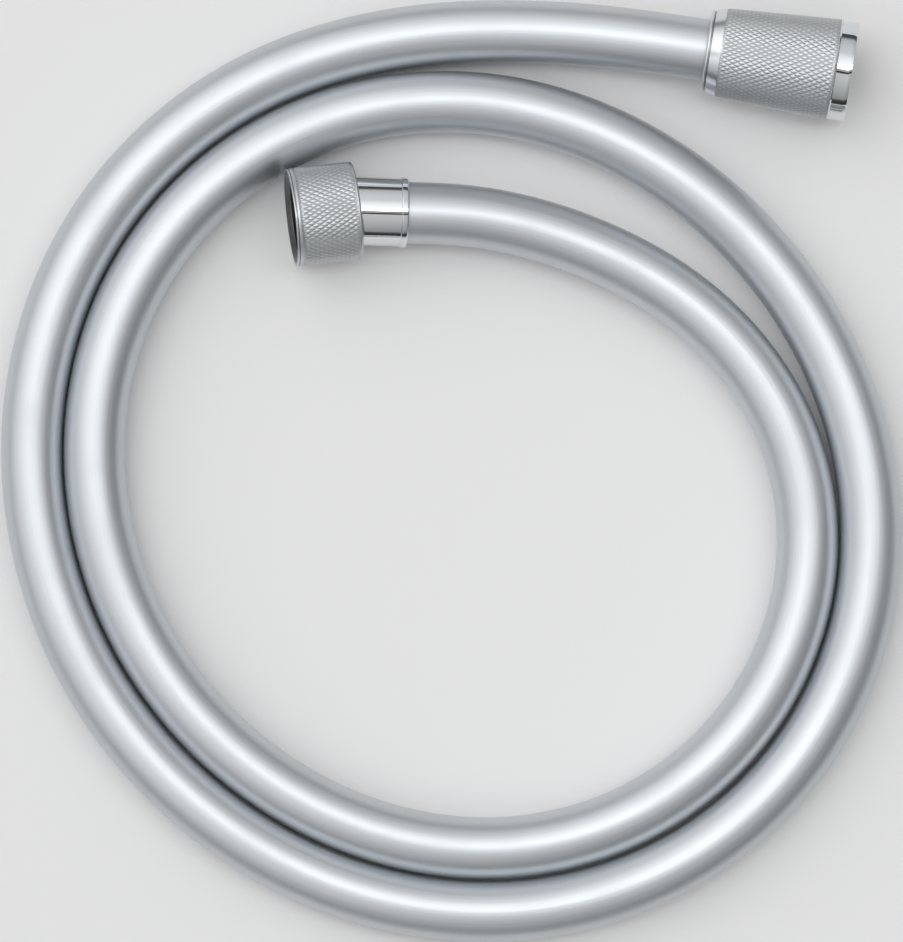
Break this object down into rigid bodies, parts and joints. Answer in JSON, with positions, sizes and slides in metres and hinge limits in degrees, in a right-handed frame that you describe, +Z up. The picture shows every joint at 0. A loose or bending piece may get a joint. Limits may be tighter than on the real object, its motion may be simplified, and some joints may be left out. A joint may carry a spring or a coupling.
{
  "type": "shower hose",
  "caption": "Smooth silver shower hose lying flat in loose turns, with a conical union nut at one end and a short knurled union nut at the other, each turning freely.",
  "frame": {"origin": "on the floor that the hose lies on, under the middle of its outline", "axes": "+Z up; seen from above, +X points to the right, roughly the way the conical nut opens, and +Y away from the viewer"},
  "size_m": [0.2105, 0.2202, 0.0246],
  "materials": {
    "satin_hose": "satin silver plastic with a fine lengthwise grain",
    "knurled_chrome": "bright chrome plate with a fine diamond knurl between smooth collars",
    "polished_chrome": "polished chrome plate",
    "brass": "bare turned brass",
    "black_rubber": "black moulded rubber",
    "white_acetal": "plain moulded plastic",
    "spring_steel": "stamped spring steel"
  },
  "bodies": {
    "hose": {"hose_tube": "satin_hose", "wall_end_sleeve": "polished_chrome", "wall_end_tail": "brass", "cone_end_ferrule": "brass", "cone_end_tail": "brass", "spindle_o_ring_rear": "black_rubber", "spindle_o_ring_front": "black_rubber", "spindle_clip": "spring_steel"},
    "handset_nut": {"conical_nut": "knurled_chrome", "swivel_bush": "white_acetal", "cone_end_washer": "black_rubber"},
    "wall_nut": {"knurled_nut": "knurled_chrome", "wall_end_washer": "black_rubber"}
  },
  "joints": [
    {"name": "handset_nut_turn", "type": "hinge", "parent": "hose", "child": "handset_nut", "pos_m": [0.0726, 0.0964, 0.01097], "axis": [0.9862, -0.156, 0.0552], "continuous": true},
    {"name": "wall_nut_turn", "type": "hinge", "parent": "hose", "child": "wall_nut", "pos_m": [-0.02291, 0.06077, 0.01144], "axis": [-0.9856, -0.117, 0.1219], "continuous": true}
  ]
}
